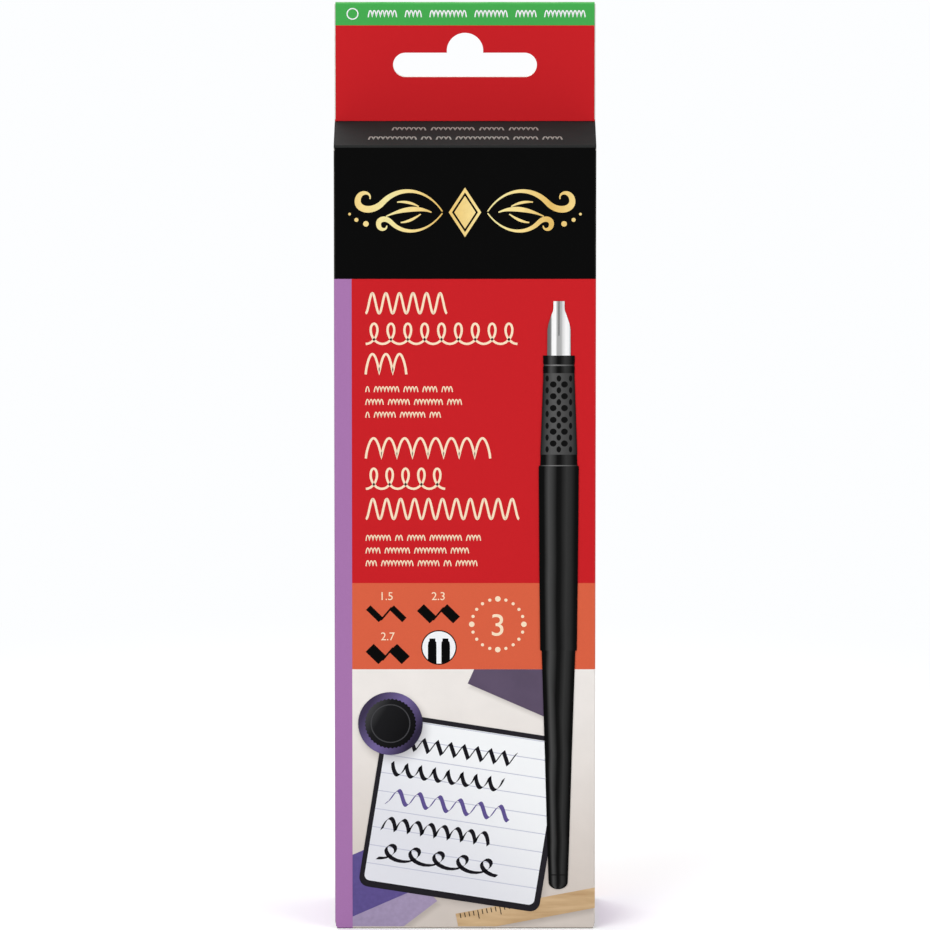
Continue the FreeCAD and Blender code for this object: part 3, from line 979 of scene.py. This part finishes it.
def clipped(points):
    """The part of an outline that lies inside the picture."""
    for axis, sign, limit in ((0, 1, STRIPE_X), (0, -1, HALF), (1, 1, BASE), (1, -1, ORANGE_LOW)):
        kept = []
        for p, q in zip(points, points[1:] + points[:1]):
            here = sign * (p[axis] - limit)
            there = sign * (q[axis] - limit)
            if here >= 0:
                kept.append(p)
            if here * there < 0:
                kept.append(Vector(p).lerp(Vector(q), here / (here - there)))
        points = kept
    return points


def desk_picture():
    """The table itself, the cards on it, and a practice sheet on a dark pad."""
    art = Print("front")
    off_crease = 0.3
    pad_corner = 2.2
    sheet_corner = 1.3
    art.polygon(upright_box(STRIPE_X, HALF - off_crease, BASE, ORANGE_LOW), table_print(), TABLE_LEVEL)
    for card, name, colour, level in CARDS:
        art.polygon(clipped(turned_box(*card)), card_print(name, colour), level)
    cover = card_print("pad_cover", srgb(34, 32, 37))
    art.polygon(clipped(rounded_box(*PAD, pad_corner)), cover, PAD_LEVEL)
    art.polygon(clipped(rounded_box(*SHEET, sheet_corner)), paper_print(), SHEET_LEVEL)
    art.finish("front_desk_picture")


def sheet_drills():
    """Rows of broad-nib drills on the practice sheet."""
    art = Print("front", DRILL_LEVEL)
    black = ink("drill_black", srgb(24, 22, 28))
    violet = ink("drill_violet", VIOLET)
    centre, _, turn = SHEET
    left = -17.0
    nib = 0.95
    # Each row: height of its middle line on the sheet, length, height and number of strokes, shape and ink.
    rows = [
        (13.6, 27.0, 3.0, 9, zigzag, black), (7.4, 25.0, 2.8, 8, cup, black),
        (1.0, 27.5, 3.2, 6, wave, violet), (-5.4, 24.0, 2.8, 8, arch, black),
        (-11.8, 27.0, 3.4, 5, loop, black),
    ]
    for up, length, tall, count, shape, fill in rows:
        start = turned_point(centre, left, up, turn)
        art.pen_stroke(running(shape, start, length, tall, count, 16, turn), nib, NIB_ANGLE, fill)
    art.finish("front_sheet_drills")


def ink_pot():
    """The ink pot from above: glass rim, ribbed black lid and a line on it."""
    art = Print("front", POT_LEVEL)
    glass_tones = [(0.0, srgb(60, 52, 78)), (0.5, srgb(112, 98, 150)), (1.0, srgb(44, 38, 60))]
    lid_tones = [(0.0, srgb(70, 70, 72)), (0.3, srgb(26, 26, 28)), (1.0, srgb(8, 8, 9))]
    rib = POT_RADIUS * 0.80
    groove = POT_RADIUS * 0.765
    count = 80
    outline = []
    for i in range(count):
        outline.append(turned_point(POT_CENTRE, rib if i % 2 else groove, 0, 360 * i / count))
    art.disc(POT_CENTRE, POT_RADIUS, pot_print("pot_glass", glass_tones))
    art.polygon(outline, pot_print("pot_lid", lid_tones), level=1)
    line = ink("lid_line", srgb(66, 66, 69))
    art.ring(POT_CENTRE, radius=POT_RADIUS * 0.6, width=0.25, fill=line, level=2)
    art.finish("front_ink_pot")


def ruler():
    """The wooden ruler, with a mark at each millimetre and a long one at each fifth."""
    art = Print("front", RULER_LEVEL)
    art.polygon(clipped(turned_box(*RULER)), wood_print())
    mark = ink("ruler_mark", srgb(40, 34, 30))
    centre, (length, width), turn = RULER
    from_edge = 0.1
    short, long = 1.1, 2.0
    thick = 0.2
    marks = 14
    top = width / 2 - from_edge
    for i in range(1, marks + 1):
        foot = top - (short if i % 5 else long)
        ends = [turned_point(centre, i - length / 2, up, turn) for up in (top, foot)]
        art.line(ends, thick, mark, level=1)
    art.finish("front_ruler")


# The pen in the picture: its place across the front, and heights from its tail to its tip.
PEN_X = 20.8
TAIL_END = 9.1
TAIL_SEAM = 12.4
BARREL_LOW = 63.9
BARREL_HIGH = 106.1
GRIP_LOW = 108.6
GRIP_HIGH = 127.1
COLLAR_GROOVE = 128.9
COLLAR_HIGH = 131.1
NIB_SLIT = 135.6
NIB_TIP = 143.4

# Half the width of the nib's shank.
NIB_HALF = 2.6


def tube_print(name, tones, half=None):
    """A round bar from its side: greys from edge to edge, or over a steady half width."""
    paint = laminated(name)
    share = (paint.x - (PEN_X - half)) / (2 * half) if half else paint.parts(paint.uv)[0]
    return paint.finish(paint.ramp(share, [(place, grey(tone)) for place, tone in tones]))


def pen_bar(art, stations, fill, level=0):
    """A piece of the pen through stations (height, half width)."""
    art.ribbon([((PEN_X - half, up), (PEN_X + half, up)) for up, half in stations], fill, level)


def pen_groove(art, up, tall, half, fill):
    pen_bar(art, [(up - tall / 2, half), (up + tall / 2, half)], fill, level=1)


def round_tail():
    """Stations of the tail's round end."""
    tall, half, least_half = 1.7, 2.15, 0.3
    steps = 8
    stations = []
    for i in range(steps + 1):
        cosine, sine = direction(90 * i / steps)
        stations.append((TAIL_END + tall * (1 - cosine), max(half * sine, least_half)))
    return stations


def grip_dimples(art, fill):
    """Rows of three and two dimples by turns, narrower toward the grip's sides."""
    rows = 13
    from_end = 1.2
    half_tall = 0.7
    pitch = (GRIP_HIGH - GRIP_LOW - 2 * from_end) / (rows - 1)
    rim = circle((0, 0), 1.0, 20)
    # Place across the grip and half width of each dimple in a row.
    threes = ((-2.6, 0.36), (0.0, 0.5), (2.6, 0.36))
    twos = ((-1.25, 0.74), (1.25, 0.74))
    for i in range(rows):
        up = GRIP_LOW + from_end + pitch * i
        for across, half in twos if i % 2 else threes:
            dimple = [(PEN_X + across + half * x, up + half_tall * z) for x, z in rim]
            art.polygon(dimple, fill, level=1)


def printed_pen():
    """The pen at the right of the front: tail, barrel, dimpled grip, collar and nib."""
    art = Print("front", PEN_LEVEL)
    black = tube_print("pen_print_black", [
        (0.0, 4), (0.13, 8), (0.25, 72), (0.33, 60), (0.46, 10),
        (0.55, 14), (0.70, 50), (0.80, 42), (0.92, 8), (1.0, 4),
    ])
    steel = tube_print("pen_print_steel", [
        (0.0, 96), (0.15, 118), (0.21, 244), (0.36, 250), (0.43, 166),
        (0.60, 176), (0.66, 214), (0.80, 246), (0.93, 240), (1.0, 150),
    ], NIB_HALF)
    grip = tube_print("pen_print_grip", [
        (0.0, 20), (0.12, 62), (0.30, 86), (0.55, 78), (0.86, 60), (1.0, 18),
    ])
    groove = tube_print("pen_print_groove", [(0.0, 30), (0.3, 126), (0.7, 104), (1.0, 24)])
    dark = ink("pen_print_dark", grey(12))
    barrel = [(64.2, 4.08), (84.0, 4.3), (105.7, 4.45)]
    waist = [(128.5, 3.5), (128.6, 3.4), (129.2, 3.4), (129.3, 3.5)]
    shoulder = [(137.0, 2.56), (138.4, 2.3), (140.2, 1.7), (141.2, 1.3), (141.8, 1.22)]

    pen_bar(art, round_tail() + [(20.0, 2.45), (40.0, 3.0), (BARREL_LOW, 3.75)], black)
    pen_groove(art, TAIL_SEAM, tall=0.2, half=2.2, fill=dark)
    pen_bar(art, [(BARREL_LOW, 4.0), *barrel, (BARREL_HIGH, 4.35)], black)
    pen_bar(art, [(BARREL_HIGH, 4.1), (GRIP_LOW, 4.05)], black)
    pen_groove(art, BARREL_HIGH, tall=0.2, half=4.1, fill=groove)
    pen_bar(art, [(GRIP_LOW, 4.1), (GRIP_HIGH, 3.45)], grip)
    grip_dimples(art, dark)
    pen_bar(art, [(GRIP_HIGH, 3.5), *waist, (COLLAR_HIGH, 3.5)], black)
    pen_groove(art, COLLAR_GROOVE, tall=0.3, half=3.4, fill=groove)
    pen_bar(art, [(COLLAR_HIGH, NIB_HALF), *shoulder, (NIB_TIP, 1.22)], steel)
    slit = ink("pen_print_slit", grey(84))
    art.line([(PEN_X, NIB_SLIT), (PEN_X, NIB_TIP)], 0.2, slit, level=1)
    art.finish("front_pen_picture")


# Other faces


def left_flourish():
    """A long flourish of two curves that cross."""
    art = Print("left")
    pale = ink("side_pale_ink", srgb(206, 172, 210))
    flourish = [
        (-4, 20), (10, 34), (10, 46), (0, 56), (-10, 66), (-10, 78), (0, 88), (10, 98), (9, 112), (-2, 118),
        (-9, 122), (-9, 132), (-2, 133),
    ]
    # Each curve: its side, its shift upward, its thickest and its thinnest width.
    curves = [(1, -3, 2.4, 0.35), (-1, 0, 1.6, 0.3)]
    for level, (side, sheen_band, thick, thin) in enumerate(curves):
        art.swell(bezier([(side * x, z + sheen_band) for x, z in flourish], 28), thick, thin, pale, level)
    art.finish("left_flourish")


def right_drills():
    """Ruled rows of drills, with the nib samples below them."""
    art = Print("right")
    cream = ink("side_cream_ink", CREAM)
    black = ink("side_black_ink", BLACK)
    reach = 9.5
    tall = 4.2
    line = 0.45
    # Each row: height of its middle line, number of strokes and their shape.
    rows = [(140, 9, loop), (131, 7, wave), (122, 8, arch), (113, 6, zigzag), (104, 9, cup)]
    for up, count, shape in rows:
        art.line(running(shape, (-reach, up), 2 * reach, tall, count), line, cream)
        art.line([(-reach, up - tall), (reach, up - tall)], GUIDE, cream)
    drawn = 0.66
    figure_tall = 1.7
    for nib, across in zip(NIBS, (-8.0, 0.0, 8.0)):
        broad_zigzag(art, (across, 67.6), nib * drawn, black, scale=0.7)
        art.figures(str(nib), (across, 72.6), figure_tall, cream)
    art.finish("right_drills")


def back_drills():
    """A pale practice panel on the back, with guide lines and drills."""
    art = Print("back")
    paper = ink("back_paper", srgb(240, 236, 228), least=0.97)
    guide = ink("back_guide", srgb(196, 182, 190))
    black = ink("back_black", srgb(20, 18, 22))
    low, high = 14.0, 140.0
    half = HALF - 6.5
    guide_half = half - 2
    left, length = 4 - half, 2 * half - 9
    tall = 5.0
    art.polygon(upright_box(-half, half, low, high), paper)
    rows = [(zigzag, 9), (cup, 8), (wave, 7), (loop, 7), (arch, 8), (wave, 10), (zigzag, 12)]
    spacing = (high - low) / len(rows)
    for i, (shape, count) in enumerate(rows):
        middle = high - spacing * (i + 0.5)
        for up in (middle - tall, middle - tall / 2, middle + tall / 2, middle + tall):
            art.line([(-guide_half, up), (guide_half, up)], GUIDE, guide, level=1)
        drill = running(shape, (left, middle), length, tall, count)
        art.pen_stroke(drill, NIBS[0], NIB_ANGLE, black, level=2)
    art.finish("back_practice_panel")


def tab_drills():
    """A small ring and a row of short white drills along the green strip."""
    art = Print("tab")
    white = ink("tab_white_ink", WHITE)
    up = (GREEN_LOW + TAB_TOP) / 2
    art.ring((-25.0, up), radius=1.2, width=0.26, fill=white)
    art.words((-21.5, up), (7, 4, 9, 8, 5, 10), white, pitch=0.9, gap=1.9, height=1.5, width=0.27)
    art.finish("tab_small_drills")


def lid_drills():
    """Two grey rows of small drills across the lid."""
    art = Print("lid")
    pale = ink("lid_grey_ink", srgb(150, 149, 144))
    middle = (LID_LOW.y + LID_HIGH.y) / 2
    rows = [(-16.1, 5.4, 1.3, (7, 9, 5, 6)), (-21.3, -5.0, 1.2, (10, 2, 3, 11, 5, 4))]
    for left, up, gap, counts in rows:
        art.words((left, middle + up), counts, pale, pitch=1.05, gap=gap, height=3.4, width=0.36)
    art.finish("lid_drills", "lid")


# CAD nodes


def dress(material, *nodes):
    """Gives CAD nodes a material of this script, by their slots."""
    for name in nodes:
        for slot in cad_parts[name].material_slots:
            slot.link = "OBJECT"
            slot.material = material


def dress_carton():
    dress(board("front_board", -Y, front_zones, side_crease), "front_panel")
    dress(board("left_board", -X, left_zones, front_crease), "left_side_panel")
    dress(board("right_board", X, right_zones, front_crease), "right_side_panel")
    dress(board("back_board", Y, back_zones, side_crease, glued_fold), "hanger_panel")
    dress(board("tab_board", -Y, tab_zones, tab_crease, tab_fold), "tab_front_ply")
    dress(board("lid_board", Z, lid_zones, folded=front_fold, coat=varnished), "lid_panel")
    dress(board("tuck_board", Y, lid_zones, folded=tuck_fold, coat=varnished), "lid_tuck_flap")
    top_flaps = board("flap_board", Z, flap_zones, folded=side_fold)
    dress(top_flaps, "top_dust_flap_left", "top_dust_flap_right")
    base_flaps = board("base_flap_board", -Z, left_zones, folded=side_fold)
    dress(base_flaps, "bottom_dust_flap_left", "bottom_dust_flap_right")
    dress(board("base_board", -Z, base_zones, folded=front_fold), "bottom_outer_panel")
    dress(inner_back_board(), "back_panel")
    dress(plain_board("inside_board"), "bottom_inner_panel")


def dress_contents():
    tray = [f"tray_{part}" for part in ("platform", "left_wall", "right_wall", "head_wall", "foot_wall")]
    sections, nibs, feeds = (
        (f"pen_{part}", f"spare_{part}_medium", f"spare_{part}_fine") for part in ("section", "nib", "feed")
    )
    dress(plain_board("tray_board"), *tray)
    dress(leaflet_paper(), "instruction_leaflet")
    dress(gloss_plastic("pen_gloss", srgb(18, 18, 19)), "pen_barrel", "pen_tail", "cap_shell")
    dress(grip_plastic(), *sections)
    dress(brushed_steel("nib_steel", srgb(206, 206, 208), 0.18, 0.34), *nibs)
    dress(matt_plastic("feed_plastic", srgb(30, 30, 31)), *feeds)
    dress(matt_plastic("liner_plastic", srgb(90, 90, 93)), "cap_inner_liner")
    dress(brushed_steel("clip_chrome", srgb(220, 220, 222), 0.06, 0.16), "cap_clip")
    dress(cartridge_plastic(), "cartridge_lower", "cartridge_upper")
    dress(gloss_plastic("seal_plastic", srgb(206, 206, 204)), "seal_ball_lower", "seal_ball_upper")


# Studio

# The camera: metres from the front, angle down to the lid, sensor in millimetres, pixels and free pixels.
CAMERA_AWAY = 3.0
TOP_ANGLE = math.radians(11.4)
SENSOR = 36.0
IMAGE = 930
MARGIN = 3


def make_camera():
    """A long lens that looks down on the lid and takes in the part from base to tab."""
    eye = Vector((0, FRONT_Y * MM - CAMERA_AWAY, TOP * MM + CAMERA_AWAY * math.tan(TOP_ANGLE)))

    def slope(y, z):
        return math.atan2(z * MM - eye.z, y * MM - eye.y)

    highest = slope(BACK_Y, TAB_TOP)
    lowest = slope(FRONT_Y, 0)
    half_field = math.tan((highest - lowest) / 2) * IMAGE / (IMAGE - MARGIN)
    data = bpy.data.cameras.new("camera")
    data.sensor_width = SENSOR
    data.lens = SENSOR / 2 / half_field
    data.clip_end = CAMERA_AWAY * 10
    camera = add_object("camera", data)
    camera.location = eye
    camera.rotation_euler = (math.pi / 2 + (highest + lowest) / 2, 0, 0)
    bpy.context.scene.camera = camera


# Strength of the even light, and the colours of the backdrop, the floor and the light that it throws up.
AMBIENT = 0.38
BACKDROP = (0.98, 0.99, 1.0, 1)
FLOOR = (0.93, 0.935, 0.94, 1)
FLOOR_THROWN = (0.4, 0.4, 0.4, 1)

# The floor's half side and the distances between which its shadow fades, in metres.
FLOOR_HALF = 8.0
SHADOW_NEAR = 0.10
SHADOW_FAR = 0.30


def make_world():
    """White where it is seen, and a soft even light elsewhere."""
    world = bpy.data.worlds.new("studio")
    world.use_nodes = True
    bpy.context.scene.world = world
    nodes = Nodes(world.node_tree)
    light = nodes.tree.nodes["Background"]
    light.inputs["Strength"].default_value = AMBIENT
    light.inputs["Color"].default_value = (1, 1, 1, 1)
    white = nodes.node("Background", {"Color": BACKDROP})
    nodes.show("World Output", nodes.seen_rays(), light, white)


def floor_paint():
    """A pale floor that keeps the shadow near the part and is plain white further off."""
    paint = Paint("floor", roughness=0.9, specular=0.0)
    flat = paint.scaled(paint.place, (1, 1, 0))
    distance = paint.value("VectorMath", "Value", {0: flat}, operation="LENGTH")
    far = paint.between(distance, SHADOW_NEAR, SHADOW_FAR)
    white = paint.node("Emission", {"Color": BACKDROP})
    paint.show("Material Output", far * paint.seen_rays(), paint.shader, white)
    thrown_up = paint.value("LightPath", "Is Diffuse Ray", {})
    return paint.finish(paint.mix(thrown_up, FLOOR, FLOOR_THROWN))


def make_floor():
    mesh = bpy.data.meshes.new("floor")
    outline = upright_box(-FLOOR_HALF, FLOOR_HALF, -FLOOR_HALF, FLOOR_HALF)
    mesh.from_pydata([(x, y, 0) for x, y in outline], [], [(0, 1, 2, 3)])
    mesh.materials.append(floor_paint())
    floor = add_object("floor", mesh)
    floor.location.z = -INK * MM


# Soft lamps: name, azimuth and elevation in degrees, distance and side in metres, watts.
LAMPS = [
    ("key", -42, 30, 1.5, 1.2, 14.8),
    ("fill", 58, 22, 1.6, 1.2, 12.8),
    ("top", 150, 78, 1.4, 1.2, 6.5),
    ("rear", 205, 28, 1.7, 1.4, 17.0),
]


def make_lamps():
    target = Vector((0, 0, TOP / 2 * MM))
    for name, azimuth, elevation, away, side, watts in LAMPS:
        data = bpy.data.lights.new(name, "AREA")
        data.size = side
        data.energy = watts
        lamp = add_object(name, data)
        ahead, right = direction(azimuth)
        level, up = direction(elevation)
        back = Vector((right * level, -ahead * level, up))
        lamp.location = target + back * away
        lamp.rotation_euler = back.to_track_quat("Z", "Y").to_euler()
        lamp.visible_camera = False


dress_carton()
dress_contents()
ornament()
drill_rows()
nib_samples()
desk_picture()
sheet_drills()
ink_pot()
ruler()
printed_pen()
left_flourish()
right_drills()
back_drills()
tab_drills()
lid_drills()
make_camera()
make_world()
make_floor()
make_lamps()
bpy.context.scene.view_settings.view_transform = "Standard"
